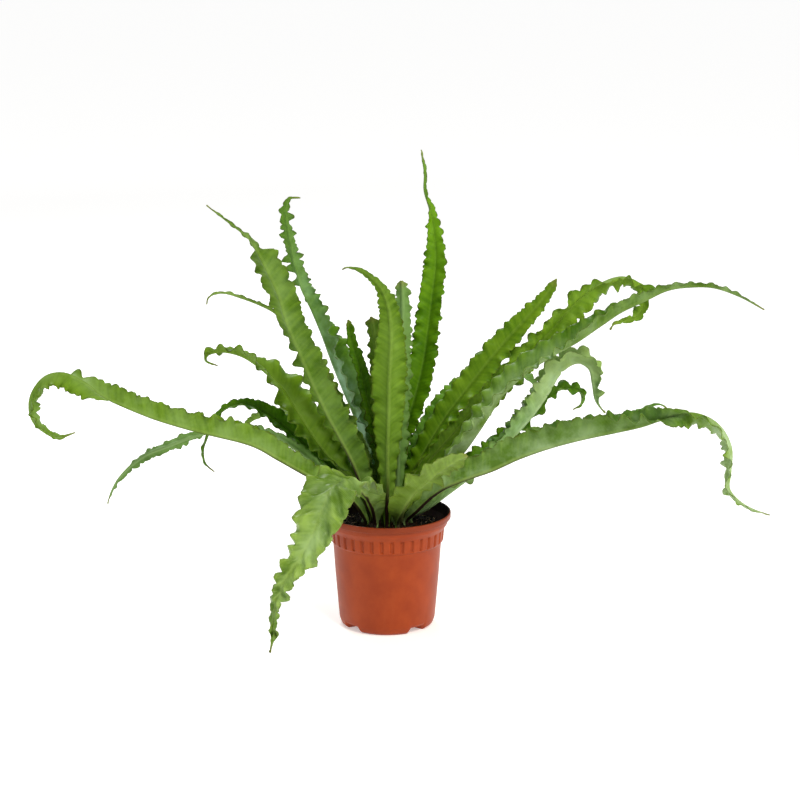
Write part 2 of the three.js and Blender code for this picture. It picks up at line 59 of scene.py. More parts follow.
def readAlong(values, share):  # a value from a list whose entries stand at even steps from 0 to 1
    place = min(max(share, 0), 1) * (len(values) - 1)
    step = min(int(place), len(values) - 2)
    return values[step] + (values[step + 1] - values[step]) * (place - step)


def addNode(tree, kind, settings=None, links=None):  # a link comes from an output, or from a node's first output
    node = tree.nodes.new("ShaderNode" + kind)
    for key, value in (settings or {}).items():
        if isinstance(key, int) or key in node.inputs:
            node.inputs[key].default_value = value
        else:
            setattr(node, key, value)
    for key, source in (links or {}).items():
        tree.links.new(getattr(source, "outputs", [source])[0], node.inputs[key])
    return node


def newMaterial(name):  # a bare material, and addNode for its own tree
    material = bpy.data.materials.new(name)
    material.use_nodes = True
    material.node_tree.nodes.clear()
    return material, partial(addNode, material.node_tree)


def addObject(name, data):
    made = bpy.data.objects.new(name, data)
    bpy.context.scene.collection.objects.link(made)
    return made


def aimObject(thing, place, aim):
    thing.location = place
    thing.rotation_euler = (Vector(aim) - Vector(place)).to_track_quat("-Z", "Y").to_euler()


def meshFrom(bm, name):
    mesh = bpy.data.meshes.new(name)
    bm.to_mesh(mesh)
    bm.free()
    return mesh


def startProfile(profile):  # a chain of points, radius and height in mm, to be spun
    bm = bmesh.new()
    chain = [bm.verts.new((radius * mm, 0, height * mm)) for radius, height in profile]
    for pair in zip(chain, chain[1:]):
        bm.edges.new(pair)
    return bm


def spinRound(bm, turns):
    bmesh.ops.spin(bm, geom=bm.verts[:] + bm.edges[:], cent=(0, 0, 0), axis=(0, 0, 1), angle=2 * math.pi,
                   steps=turns, use_merge=True)
    bmesh.ops.remove_doubles(bm, verts=bm.verts, dist=weldReach)
    bmesh.ops.recalc_face_normals(bm, faces=bm.faces)


def finishPiece(bm, name, materials, smooth=True):
    for face in bm.faces:
        face.smooth = smooth
    mesh = meshFrom(bm, name)
    for material in materials:
        mesh.materials.append(material)
    piece = addObject(name, mesh)
    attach(piece, "root")
    return piece


# camera, at the photograph's angle

cameraSet = {"place": (0.0152, -2.5313, 0.8642), "aim": (0.0152, 0, 0.2705), "lens": 100.6, "sensor": 36}

cameraData = bpy.data.cameras.new("camera")
cameraData.lens = cameraSet["lens"]
cameraData.sensor_width = cameraSet["sensor"]
camera = addObject("camera", cameraData)
aimObject(camera, cameraSet["place"], cameraSet["aim"])
bpy.context.scene.camera = camera


# floor and studio light

studio = {
    "floor": "#F4F3F1", "floorSize": 60, "world": "#F7FAFF", "worldStrength": 0.36,
    "floorGlow": (0.42, 0.74),   # the floor is a light table, brighter far off, so that it stays pale to the horizon
    "glowReach": (0.7, 4.5),     # metres from the pot over which it gets brighter
    "lamps": [  # name, place, aim, size, watts, colour
        ("keyLamp", (1.0, -1.9, 2.3), (0, 0, 0.28), 0.8, 56, "#FFFAF0"),
        ("fillLamp", (-2.1, -1.5, 1.3), (0, 0, 0.25), 1.4, 12, "#F2F7FF"),
        ("sideLamp", (1.9, -0.5, 0.7), (0, 0, 0.15), 0.7, 12, "#FFF4EA"),
        ("backLamp", (-0.5, 1.5, 2.0), (0, 0, 0.35), 1.2, 40, "#FFFFFF"),
    ],
}


def setStudio():
    bpy.context.scene.view_settings.view_transform = "Standard"
    world = bpy.data.worlds.new("studio")
    world.use_nodes = True
    sky = world.node_tree.nodes["Background"]
    sky.inputs["Color"].default_value = linear(studio["world"])
    sky.inputs["Strength"].default_value = studio["worldStrength"]
    bpy.context.scene.world = world
    for name, place, aim, size, watts, colour in studio["lamps"]:
        lampData = bpy.data.lights.new(name, "AREA")
        lampData.shape = "DISK"
        lampData.size = size
        lampData.energy = watts
        lampData.color = linear(colour)[:3]
        aimObject(addObject(name, lampData), place, aim)
    material, add = newMaterial("paleFloorPaint")  # plain studio paint, flat and even
    place = add("TexCoord").outputs["Object"]
    far = add("VectorMath", {"operation": "LENGTH"}, {0: place})
    glow = add("MapRange", {
        "interpolation_type": "SMOOTHSTEP", "From Min": studio["glowReach"][0], "From Max": studio["glowReach"][1],
        "To Min": studio["floorGlow"][0], "To Max": studio["floorGlow"][1]}, {"Value": far.outputs["Value"]})
    shader = add("BsdfPrincipled", {
        "Base Color": linear(studio["floor"]), "Roughness": 0.9, "Emission Color": linear(studio["floor"])},
        {"Emission Strength": glow})
    add("OutputMaterial", links={"Surface": shader})
    bm = bmesh.new()
    bmesh.ops.create_grid(bm, x_segments=2, y_segments=2, size=studio["floorSize"] / 2)
    mesh = meshFrom(bm, "floor")
    mesh.materials.append(material)
    addObject("floor", mesh)


setStudio()
print("studio ready")


# the pot: injection-moulded polypropylene, one shell with a rim, a ribbed band and a footed floor

potForm = {  # mm and degrees
    "profile": [  # radius, height: underside, outer wall, rim, inner wall, floor
        (0, 0), (22, 0), (36, 0), (50.5, 0), (54.6, 3), (56.6, 9), (58.9, 36), (61.2, 64), (63.4, 96),
        (63.8, 101), (65.7, 102.5), (66.3, 104), (66.5, 105.4), (66.8, 108.5), (67.2, 113.5), (67.6, 117.4),
        (68.1, 119), (71.4, 124.3), (72.2, 129.7), (75, 130.3), (75, 136.3), (74.2, 137), (72.9, 136.9),
        (72.2, 134), (70.2, 125.5), (64.4, 119), (62, 101), (57.6, 46), (54.8, 9), (49, 3.8), (36, 2.8),
        (22, 2), (0, 2),
    ],
    "corner": 0.55,             # rounding of the profile's corners
    "plainEnds": 3,             # so many points at either end are left sharp
    "turns": 630,
    "ribs": 35, "ribBand": (102.9, 118.4), "ribFade": 1.6, "ribDepth": 2.1,
    "ribRadius": 65,            # only what is further out than this is ribbed
    "grooveSide": (0.1088, 0.2108),  # from a groove's middle to the foot and the top of its side, in ribs
    "innerWallShade": 110,           # the inner wall is painted dark as shade above this
    "flat": 22,                 # the middle of the underside has no channels
    "channels": 4, "channelStart": 41, "channelHeight": 6, "channelWidth": 28, "channelSide": 4,
    "channelFull": 30,          # radius from which they are full height
    "channelFade": 12,          # height at which they have faded out
    "holeRadius": 4, "holeCircle": 44, "holeSides": 32, "drillLength": 40,
}

potPlastic = {  # moulded terracotta polypropylene: satin, slightly mottled, with a fine spark-eroded grain
    "dark": "#8E3510", "light": "#9C3E14", "dust": "#AB5830", "roughness": 0.42, "shine": 0.2,
    "mottle": 26 * mm, "grain": 0.7 * mm,  # a real grain is 0.1 mm; drawn coarser so that it shows
    "topShade": "#63260F", "topShadeHeight": (126 * mm, 131 * mm),  # painted shade, darker towards the top of the rim
}
innerWallShade = {  # the same plastic on the inner wall above the soil, painted near-black as shade
    "dark": "#1C0C09", "light": "#34150E", "dust": "#4A2A1C", "roughness": 0.6, "shine": 0.1,
    # painted shade, darker again towards the top of the inner wall
    "mottle": 12 * mm, "grain": 0.7 * mm, "topShade": "#1C0C09", "topShadeHeight": (110 * mm, 120 * mm),
}
dirtStreaks = (60, 60, 9)  # per metre: a streak of dust is about 17 mm wide and 110 mm high


def potMaterial(name, look):
    material, add = newMaterial(name)
    place = add("TexCoord").outputs["Object"]
    mottle = add("TexNoise", {"Scale": 1 / look["mottle"], "Detail": 4.0, "Roughness": 0.6}, {"Vector": place})
    spread = add("MapRange", {"From Min": 0.35, "From Max": 0.68}, {"Value": mottle})
    colour = add("Mix", {"data_type": "RGBA", 6: linear(look["dark"]), 7: linear(look["light"])},
                 {0: spread}).outputs[2]
    streak = add("Mapping", {"Scale": dirtStreaks}, {"Vector": place})
    dirt = add("TexNoise", {"Scale": 1.0, "Detail": 6.0, "Roughness": 0.65}, {"Vector": streak})
    dusty = add("MapRange", {"From Min": 0.56, "From Max": 0.9, "To Max": 0.16}, {"Value": dirt})
    height = add("SeparateXYZ", links={0: place})
    # painted shade: darker towards the top, up to half way to the shade colour
    low, high = look["topShadeHeight"]
    topShadeMask = add("MapRange", {"From Min": low, "From Max": high, "To Max": 0.5}, {"Value": height.outputs[2]})
    for coat, mask in (("dust", dusty), ("topShade", topShadeMask)):
        colour = add("Mix", {"data_type": "RGBA", 7: linear(look[coat])}, {0: mask, 6: colour}).outputs[2]
    grain = add("TexNoise", {"Scale": 1 / look["grain"], "Detail": 2.0}, {"Vector": place})
    bump = add("Bump", {"Strength": 0.12, "Distance": 0.2 * mm}, {"Height": grain})
    gloss = add("MapRange", {"To Min": look["roughness"] - 0.06, "To Max": look["roughness"] + 0.1}, {"Value": dirt})
    shader = add("BsdfPrincipled", {"IOR": 1.49, "Specular IOR Level": look["shine"]},
                 {"Base Color": colour, "Roughness": gloss, "Normal": bump})
    add("OutputMaterial", links={"Surface": shader})
    return material


def channelShare(degrees):  # 1 in a drainage channel, 0 between two
    turn = 360 / potForm["channels"]
    away = abs((degrees - potForm["channelStart"] + turn / 2) % turn - turn / 2)
    return min(max((potForm["channelWidth"] / 2 - away) / potForm["channelSide"], 0), 1)


def drillHole(pot, angle):
    form = potForm
    spot = (form["holeCircle"] * mm * math.cos(angle), form["holeCircle"] * mm * math.sin(angle), 0)
    bm = bmesh.new()
    bmesh.ops.create_cone(bm, cap_ends=True, segments=form["holeSides"], radius1=form["holeRadius"] * mm,
                          radius2=form["holeRadius"] * mm, depth=form["drillLength"] * mm,
                          matrix=Matrix.Translation(spot))
    drill = addObject("drill", meshFrom(bm, "drill"))
    hole = pot.modifiers.new("hole", "BOOLEAN")
    hole.object = drill
    hole.operation = "DIFFERENCE"
    bpy.context.view_layer.update()
    drilled = bpy.data.meshes.new_from_object(pot.evaluated_get(bpy.context.evaluated_depsgraph_get()))
    pot.modifiers.clear()
    pot.data = drilled
    bpy.data.objects.remove(drill)


def makePot():
    form = potForm
    bm = startProfile(form["profile"])
    corners = list(bm.verts)[form["plainEnds"]:-form["plainEnds"]]
    bmesh.ops.bevel(bm, geom=corners, offset=form["corner"] * mm, segments=2, profile=0.5, affect="VERTICES",
                    material=-1, clamp_overlap=True)
    spinRound(bm, form["turns"])
    low, high = form["ribBand"]
    for vert in bm.verts:
        radius, height = vert.co.to_2d().length / mm, vert.co.z / mm
        degrees = math.degrees(math.atan2(vert.co.y, vert.co.x))
        if radius > form["flat"] and height < form["channelFade"]:
            rise = form["channelHeight"] * channelShare(degrees) * smoothStep(radius, form["flat"], form["channelFull"])
            vert.co.z += rise * (1 - height / form["channelFade"]) * mm
        if radius > form["ribRadius"] and low < height < high:
            beat = ((degrees + 90) * form["ribs"] / 360 + 0.5) % 1  # 0.5 is the middle of a rib
            groove = 1 - smoothStep(min(beat, 1 - beat), *form["grooveSide"])
            band = smoothStep(height, low, low + form["ribFade"])
            band *= 1 - smoothStep(height, high - form["ribFade"], high)
            vert.co.xy *= 1 - form["ribDepth"] * groove * band / radius
    # faces of the inner wall above the soil take the painted-shade plastic
    for face in bm.faces:
        spot = face.calc_center_median()
        if face.normal.xy.dot(spot.xy) < 0 and spot.z > form["innerWallShade"] * mm:
            face.material_index = 1
    plastic = [potMaterial("mouldedTerracottaPlastic", potPlastic), potMaterial("shadedInnerWallPlastic", innerWallShade)]
    pot = finishPiece(bm, "potShell", plastic)
    for i in range(form["channels"]):
        drillHole(pot, math.radians(form["channelStart"] + 360 / form["channels"] * i))
    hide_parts("pot")


makePot()
print("pot made")


# soil: peat compost with crumbs, pale chips and fibres

soilForm = {  # mm
    "profile": [(0, 118), (30, 118), (36, 119), (40, 119), (63.9, 119), (61.6, 101), (55, 16), (48, 11), (32, 9.5),
                (20, 2.6), (0, 2.6)],
    "turns": 160,
    "surfaceEdge": 3, "rings": 16,        # the profile's fourth edge is the surface
    "surface": 118.5,                     # what is higher than this gets the lumps
    "top": 119, "mound": 4, "wall": 63.6, "lumps": 1.5,
    "lumpSizes": ((9, 1, 3), (3.4, 0.6, 7)),  # size, share of the height, place in the noise
    "crumbs": 1500, "crumbRing": (35, 63.2), "crumbSize": (0.6, 2.3), "crumbShrink": (0.5, 1),
    "crumbFlat": ((0.6, 1), (0.5, 0.9)),  # width and height against length
    "crumbRise": 0.25,                    # its middle stands proud by this share of its size
    "crumbBumps": 900, "bumpDepth": 0.35,  # bumps per metre
    "chips": 46, "chipLength": (2, 5), "chipWidth": (0.5, 0.9),
    "fibres": 110, "fibreLength": (5, 15), "fibreWidth": (0.13, 0.26),
    "fibreRing": (38, 61), "fibreTurn": 6.28, "fibreLean": (1.2, 1.75), "fibreRise": 1.4, "fibrePoint": 0.5,
    "seed": 5,
}

earthLooks = {  # dark, light, roughness and size of the patches
    "dampPeat": ("#070605", "#16120B", 0.95, 5 * mm),         # nearly black and dull
    "dryPeatCrumb": ("#0B0906", "#2A2014", 0.9, 3 * mm),      # browner where it has dried
    "paleBarkFibre": ("#6E5138", "#CDB79A", 0.8, 6 * mm),     # shredded bark, straw-coloured
    "fibrousRootstock": ("#150D07", "#3A2818", 0.9, 4 * mm),  # dark and felted
    "paperyBrownScale": ("#21130A", "#543820", 0.7, 7 * mm),  # thin, dry and a little glossy
}


def earthMaterial(name):
    dark, light, roughness, patchSize = earthLooks[name]
    material, add = newMaterial(name)
    place = add("TexCoord").outputs["Object"]
    patch = add("TexNoise", {"Scale": 1 / patchSize, "Detail": 8.0, "Roughness": 0.7}, {"Vector": place})
    spread = add("MapRange", {"From Min": 0.38, "From Max": 0.72}, {"Value": patch})
    colour = add("Mix", {"data_type": "RGBA", 6: linear(dark), 7: linear(light)}, {0: spread})
    bump = add("Bump", {"Strength": 0.7, "Distance": 0.8 * mm}, {"Height": patch})
    shader = add("BsdfPrincipled", {"Roughness": roughness, "Specular IOR Level": 0.2},
                 {"Base Color": colour.outputs[2], "Normal": bump})
    add("OutputMaterial", links={"Surface": shader})
    return material


def soilHeight(x, y):
    form = soilForm
    lump = sum(share * noise.noise(Vector((x / size, y / size, place))) for size, share, place in form["lumpSizes"])
    return form["top"] + form["mound"] * (1 - math.hypot(x, y) / form["wall"]) + form["lumps"] * lump


def scatterPlace(dice, ring):
    low, high = ring
    radius = math.sqrt(dice.uniform(low ** 2, high ** 2))
    angle = dice.uniform(0, 2 * math.pi)
    return radius * math.cos(angle), radius * math.sin(angle)


def makeSoil():
    form = soilForm
    bm = startProfile(form["profile"])
    bmesh.ops.subdivide_edges(bm, edges=[list(bm.edges)[form["surfaceEdge"]]], cuts=form["rings"])
    spinRound(bm, form["turns"])
    for vert in bm.verts:
        if vert.co.z > form["surface"] * mm:
            vert.co.z = soilHeight(vert.co.x / mm, vert.co.y / mm) * mm
    soil = finishPiece(bm, "soilBed", [earthMaterial("dampPeat")])
    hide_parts("soil")

    dice = random.Random(form["seed"])
    bm = bmesh.new()
    for i in range(form["crumbs"]):
        x, y = scatterPlace(dice, form["crumbRing"])
        size = dice.uniform(*form["crumbSize"]) * dice.uniform(*form["crumbShrink"])
        turn = Quaternion([dice.gauss(0, 1) for k in range(4)]).normalized().to_matrix().to_4x4()
        stretch = Matrix.Diagonal((1, *[dice.uniform(*limits) for limits in form["crumbFlat"]], 1))
        spot = Matrix.Translation((x * mm, y * mm, (soilHeight(x, y) + size * form["crumbRise"]) * mm))
        bmesh.ops.create_icosphere(bm, subdivisions=1, radius=size * mm, matrix=spot @ turn @ stretch)
    for vert in bm.verts:
        vert.co += noise.noise_vector(vert.co * form["crumbBumps"]) * form["bumpDepth"] * mm
    finishPiece(bm, "soilCrumbs", [earthMaterial("dryPeatCrumb")], False)

    bm = bmesh.new()
    for i in range(form["chips"] + form["fibres"]):
        kind = "chip" if i < form["chips"] else "fibre"
        x, y = scatterPlace(dice, form["fibreRing"])
        long = dice.uniform(*form[kind + "Length"])
        wide = dice.uniform(*form[kind + "Width"])
        lie = Matrix.Rotation(dice.uniform(0, form["fibreTurn"]), 4, "Z")
        lie = lie @ Matrix.Rotation(dice.uniform(*form["fibreLean"]), 4, "X")
        spot = Matrix.Translation((x * mm, y * mm, (soilHeight(x, y) + form["fibreRise"]) * mm))
        bmesh.ops.create_cone(bm, cap_ends=True, segments=4, radius1=wide * mm, radius2=wide * form["fibrePoint"] * mm,
                              depth=long * mm, matrix=spot @ lie)
    finishPiece(bm, "soilFibres", [earthMaterial("paleBarkFibre")], False)


makeSoil()
print("soil made")


# fronds, in mm and degrees: the root stands on the crown at azimuth and ring, and the route is the midrib. Lists are
# read at even steps along it: tone is how light the green is (makeFrond adds painted highlight on crests and
# painted shade in dips), rib how pale the midrib, stain how wide and brown its middle, sheenAlong how strong the sheen,
# frill how deep the margin's lobes. Sheen, partly wax and partly painted highlight, is read from one margin to the
# other
usualFrond = {
    "ring": 28, "leaf": "green", "twist": [0, 0], "rib": [0.1, 0.1], "sheen": [0.1, 0.1], "sheenAlong": [1, 1],
    "frill": [1, 1],
    "lobe": 1, "crinkle": 1,  # length of the lobes and depth of the puckering, against what bladeForm says
    "swell": 0,               # broad uneven swelling
    "tip": 22,                # the length over which the tip narrows
    "shoulder": (0, 1),       # between these shares of the length a blade narrows at once
}

fronds = {
    "frondLeftLong": dict(azimuth=-157, tone=[0.5, 0.6, 0.65, 0.7, 0.7], stain=[1, 0.9, 0.5, 0.3, 0.1, 0],
        sheen=[0, 0.4], frill=[0.6, 1, 1.3],
        route=[[-41, -14, 153], [-64, -18, 171], [-92, -23, 186], [-124, -28, 206], [-158, -33, 226], [-216, -40, 243],
            [-262, -44, 258], [-297, -47, 273], [-322, -48, 285], [-345, -49, 303], [-367, -49, 313], [-388, -49, 309],
            [-403, -48, 292], [-408, -47, 273], [-404, -46, 255], [-391, -44, 242], [-376, -42, 236], [-358, -40, 242]],
        width=[16, 22, 34, 44, 46, 42, 38, 37, 34, 20, 3], twist=[0, 0, 0, 0, 0, 0, 10, 110, 175, 175, 175],
        fold=[50, 60, 66, 66, 64, 62, 60, 40, 35, 30, 20]),
    "frondLeftLow": dict(azimuth=175, leaf="pale", tone=[0.4, 0, -0.2], rib=[0.2, 0.2], stain=[0.3, 0],
        sheen=[0.05, 0.1], frill=[1, 1.4],
        route=[[-41, 6, 148], [-65, 12, 171], [-93, 17, 195], [-123, 21, 216], [-154, 24, 227], [-185, 26, 231],
            [-211, 27, 224], [-233, 27, 218], [-259, 27, 208], [-283, 26, 199], [-302, 25, 186], [-317, 24, 170],
            [-326, 23, 154], [-331, 22, 139]],
        width=[16, 22, 16, 16, 16, 14, 10, 16, 14, 10, 3], twist=[0, 0, 20, 40, 40, 40, 60, 90, 120, 150, 180],
        fold=[50, 50, 45, 40, 40, 40, 30, 20]),
    "frondLeftBehind": dict(azimuth=150, leaf="deep", tone=[0.35, 0.45, 0.5], stain=[0.6, 0.3, 0], sheen=[0, 0],
        route=[[-35, 26, 152], [-59, 38, 171], [-85, 48, 193], [-112, 55, 216], [-140, 60, 238], [-166, 62, 250],
            [-190, 62, 247], [-207, 60, 231], [-215, 57, 212], [-220, 54, 197], [-218, 52, 181], [-207, 50, 170]],
        width=[16, 22, 32, 36, 34, 28, 20, 12, 8, 6, 3], twist=[0, -15, -30, -30, -30, -20, 0, 0],
        fold=[50, 45, 35, 30, 30, 30, 20]),
    "frondLeftArch": dict(azimuth=186, ring=18, tone=[0.5, 0.7, 0.8], stain=[0.6, 0.3, 0], sheen=[0.05, 0.05],
        lobe=1.3, frill=[0.6, 1, 1.6], crinkle=2,
        route=[[-25, 5, 161], [-48, 11, 178], [-70, 16, 199], [-87, 20, 222], [-104, 25, 248], [-122, 29, 276],
            [-144, 31, 298], [-168, 32, 315], [-191, 33, 321], [-209, 33, 318], [-212, 32, 310], [-199, 31, 304]],
        width=[10, 14, 30, 42, 52, 58, 60, 55, 44, 26, 5], twist=[0, -5, -20, -40, -50, -48, -40, -20, 0, 0, 0],
        fold=[50, 42, 30, 20, 15, 15, 20]),
    "frondLeftTail": dict(azimuth=225, ring=8, tone=[0.4, 0.45, 0.5], rib=[0.2, 0.2], stain=[0.5, 0], sheen=[0.2, 0.2],
        frill=[1, 1.3],
        route=[[-16, -9, 162], [-33, -10, 213], [-52, -13, 259], [-72, -16, 301], [-93, -19, 340], [-111, -21, 365],
            [-130, -22, 380], [-148, -22, 389], [-167, -22, 396], [-184, -22, 401], [-197, -22, 400], [-204, -22, 395],
            [-206, -22, 388]],
        width=[10, 16, 22, 24, 24, 22, 18, 10, 7, 5, 3], twist=[0, 0, -10, -20, -20, -20, 0, 0],
        fold=[50, 45, 40, 35, 35, 30, 30, 20]),
    "frondLeftBroad": dict(azimuth=-145, ring=18, tone=[0.45, 0.35, 0.4, 0.45], rib=[0.35, 0.4, 0.2, 0.15, 0.15],
        stain=[1.2, 1.1, 0.9, 0.4, 0.1, 0, 0, 0, 0], sheen=[0.05, 0.25], lobe=0.9, frill=[0.6, 0.9, 1.2],
        shoulder=[0.8, 0.85],
        route=[[-22, -16, 145], [-29, -22, 168], [-39, -30, 201], [-53, -38, 232], [-68, -46, 264], [-85, -54, 304],
            [-99, -60, 340], [-112, -64, 373], [-121, -67, 406], [-132, -69, 432], [-141, -70, 451], [-152, -71, 471],
            [-176, -71, 491], [-199, -70, 509]],
        width=[16, 18, 20, 30, 38, 43, 47, 49, 50, 49, 48, 47, 45, 43, 42, 41, 39, 12, 7, 5, 3],
        twist=[0, 5, 12, 14, 14, 14, 16, 30, 28, 0, 0], fold=[50, 45, 35, 25, 25, 25, 25, 25, 20, 10, 10]),
    "frondLeftTall": dict(azimuth=138, ring=18, leaf="deep", tone=[0.7, 0.9, 0.7, 0.6, 0.5], stain=[0.6, 0.2, 0, 0],
        sheen=[0.3, 1.5], sheenAlong=[1.5, 1.6, 1.6, 0.3, 0.1, 0], frill=[0.6, 0.8, 1.4, 2.2, 2.4],
        route=[[-16, 22, 153], [-24, 29, 197], [-36, 34, 237], [-50, 38, 271], [-64, 41, 306], [-75, 44, 337],
            [-87, 47, 366], [-99, 51, 390], [-106, 55, 413], [-111, 58, 435], [-115, 60, 459], [-118, 60, 482],
            [-114, 60, 497], [-101, 60, 499]],
        width=[12, 20, 34, 48, 57, 54, 38, 25, 20, 15, 4], twist=[0, 8, 15, 15, 15, 18, 40, 100, 130, 160, 180],
        fold=[50, 45, 45, 45, 45, 45, 35, 20]),
    "frondFrontHang": dict(azimuth=-120, leaf="young", tone=[0.5, 0.65, 0.25, 0.3, 0.9, 0.25, -0.1],
        rib=[0.1, 0.12, 0.15, 0.1], stain=[1.1, 1.1, 0.7, 0, 0, 0, 0, 0], sheen=[0.15, 0.6],
        sheenAlong=[1, 1, 1, 1, 1.2, 0.3, 0], lobe=1.9, frill=[0.6, 0.6, 0.6, 0.9, 1.4, 1.6, 1.3], crinkle=2.4, swell=11,
        route=[[-17, -36, 149], [-24, -56, 170], [-36, -80, 189], [-50, -104, 200], [-61, -124, 199], [-67, -136, 188],
            [-73, -143, 173], [-80, -150, 156], [-89, -155, 138], [-101, -159, 120], [-113, -162, 101],
            [-121, -165, 82], [-125, -167, 63], [-126, -169, 42], [-130, -170, 21]],
        width=[15, 28, 48, 64, 68, 62, 48, 31, 20, 11, 3], twist=[0, 0, 0], fold=[36, 30, 14, 0, 0, 0, 5, 10]),
    "frondFrontRight": dict(azimuth=-62, leaf="young", tone=[0.45, 0.45, 0.5], stain=[1, 0.6, 0, 0], lobe=1.4,
        frill=[0.3, 0.5, 0.9, 1.2], crinkle=2, swell=2, tip=10,
        route=[[18, -43, 146], [28, -60, 170], [43, -73, 190], [60, -81, 207], [76, -86, 219], [91, -88, 227]],
        width=[11, 24, 43, 52, 54, 46, 28], fold=[46, 28, 12, 5, 5]),
    "frondCentreFront": dict(azimuth=-90, tone=[0.55, 0.5, 0.5, 0.5], rib=[0.35, 0.3, 0.15, 0.12, 0.1],
        stain=[1.5, 1.1, 0.3, 0.1, 0, 0, 0, 0, 0, 0], sheen=[0.05, 0.1], lobe=0.8, frill=[0.6, 1, 1.2],
        route=[[0, -34, 150], [1, -38, 178], [1, -41, 215], [2, -44, 257], [3, -46, 305], [5, -46, 349], [3, -43, 383],
            [-5, -38, 407], [-18, -33, 421], [-31, -29, 429], [-44, -26, 431], [-50, -24, 428]],
        width=[17, 21, 22, 23, 24, 28, 33, 37, 40, 42, 44, 44, 42, 36, 32, 26, 22, 12, 8, 5, 3], fold=[50, 35, 22, 20]),
    "frondCentreTall": dict(azimuth=80, ring=8, leaf="deep", tone=[0.35, 0.5, 0.65, 0.9], stain=[0.6, 0.3, 0, 0],
        sheen=[0, 0], lobe=0.9, frill=[1, 1.5],
        route=[[5, 15, 139], [9, 23, 180], [19, 30, 221], [32, 34, 263], [42, 38, 304], [48, 43, 345], [53, 47, 386],
            [57, 51, 424], [55, 54, 459], [50, 56, 486], [44, 57, 508], [44, 58, 529], [40, 58, 555]],
        width=[13, 18, 26, 32, 36, 33, 31, 29, 17, 7, 3], twist=[0, 0, 0, 0, 0, 0, 0, 0, 20, 120, 180],
        fold=[50, 35, 25, 25, 25, 25]),
    "frondCentreRight": dict(azimuth=-60, ring=18, leaf="pale", tone=[0.1, -0.1, -0.15], stain=[0.4, 0, 0],
        sheen=[0.1, 0.05], frill=[1, 1.5], tip=6,
        route=[[12, -17, 155], [14, -12, 202], [15, -6, 258], [17, -1, 316], [18, 2, 365], [18, 3, 392], [17, 2, 411]],
        width=[11, 20, 26, 27, 26, 24, 14], twist=[0, -20, -30, -30], fold=[50, 35, 30, 30]),
    "frondCentreLeft": dict(azimuth=-105, ring=18, tone=[0.4, 0.45, 0.45], stain=[0.8, 0.3, 0, 0], sheen=[0.05, 0.05],
        tip=6,
        route=[[-5, -21, 162], [-6, -20, 216], [-9, -18, 269], [-12, -14, 315], [-15, -11, 350], [-18, -9, 371]],
        width=[13, 18, 24, 26, 24, 20, 14], fold=[50, 35, 30, 30]),
    "frondCentreShort": dict(azimuth=150, ring=8, leaf="deep", tone=[0.4, 0.5, 0.5], stain=[0.4, 0, 0], sheen=[0, 0],
        tip=5,
        route=[[-4, 3, 149], [-11, 8, 202], [-20, 12, 256], [-31, 15, 303], [-41, 17, 336], [-45, 18, 362]],
        width=[11, 22, 26, 26, 20, 15, 9], twist=[0, -20, -40, -40], fold=[50, 35, 30, 30]),
    "frondRightLong": dict(azimuth=-33, tone=[0.5, 0.4, 0.1, 0.15, 1.1, 0.4], rib=[0.2, 0.15, 0.1],
        stain=[1, 1, 0.7, 0.2, 0, 0, 0, 0], sheen=[0.7, 0.5], sheenAlong=[1, 1, 0.9, 0.5, 2.2, 2.8], lobe=1.2,
        frill=[0.2, 1, 1.2, 1.6],
        route=[[34, -26, 143], [51, -34, 162], [69, -42, 177], [93, -49, 189], [121, -55, 201], [152, -60, 217],
            [188, -64, 231], [225, -68, 242], [259, -71, 250], [288, -73, 257], [312, -74, 265], [336, -76, 273],
            [360, -77, 269], [379, -78, 255], [390, -79, 232], [390, -80, 205], [389, -81, 186], [400, -82, 172],
            [416, -83, 162], [436, -84, 155]],
        width=[13, 24, 44, 56, 56, 50, 36, 30, 24, 17, 4], twist=[0, -30, -40, -10, 0, 0, 30, 150, 180, 180, 180],
        fold=[50, 30, 30, 55, 62, 62, 55, 40, 35, 30, 20]),
    "frondRightHigh": dict(azimuth=-22, ring=18, tone=[0.9, 0.4, 0.1], stain=[0.8, 0.3, 0, 0, 0], sheen=[0.85, 0.2],
        sheenAlong=[2.2, 1.9, 0.8, 0.4, 0.5], lobe=1.1, frill=[0.2, 0.2, 0.5, 1, 1.1], crinkle=1.2,
        route=[[22, -13, 144], [43, -19, 168], [66, -24, 191], [87, -27, 214], [103, -28, 237], [117, -28, 259],
            [131, -28, 281], [147, -28, 298], [167, -28, 315], [190, -29, 330], [217, -30, 346], [242, -31, 364],
            [266, -32, 381], [292, -33, 394], [319, -34, 407], [346, -35, 411], [372, -36, 410], [401, -37, 400],
            [429, -38, 385]],
        width=[12, 24, 40, 46, 46, 44, 38, 24, 14, 9, 3], twist=[0, 0, 5, 15, 25, 30, 25, 0, -10, 0, 0],
        fold=[50, 48, 45, 40, 32, 32, 50, 60, 50, 40, 20]),
    "frondRightBroad": dict(azimuth=2, ring=8, tone=[0.4, 0.45, 0.6], stain=[0.6, 0.3, 0, 0], sheen=[0, 0],
        frill=[0.7, 1], tip=8,
        route=[[16, 3, 149], [30, 7, 178], [49, 12, 213], [70, 18, 247], [94, 25, 278], [117, 31, 307], [139, 36, 333],
            [160, 39, 356], [179, 41, 377], [191, 42, 393], [198, 42, 406]],
        width=[13, 20, 28, 34, 36, 36, 35, 33, 27, 18, 9], twist=[0, 20, 40, 55, 60, 60],
        fold=[50, 35, 20, 12, 12, 12]),
    "frondRightCurly": dict(azimuth=70, ring=18, tone=[0.45, 0.55, 0.65, 0.7], stain=[0.6, 0.3, 0, 0],
        sheen=[0.05, 0.05], lobe=1.7, frill=[1, 1.3, 2], crinkle=2,
        route=[[22, 29, 148], [46, 44, 181], [80, 55, 218], [115, 61, 259], [151, 66, 297], [185, 70, 328],
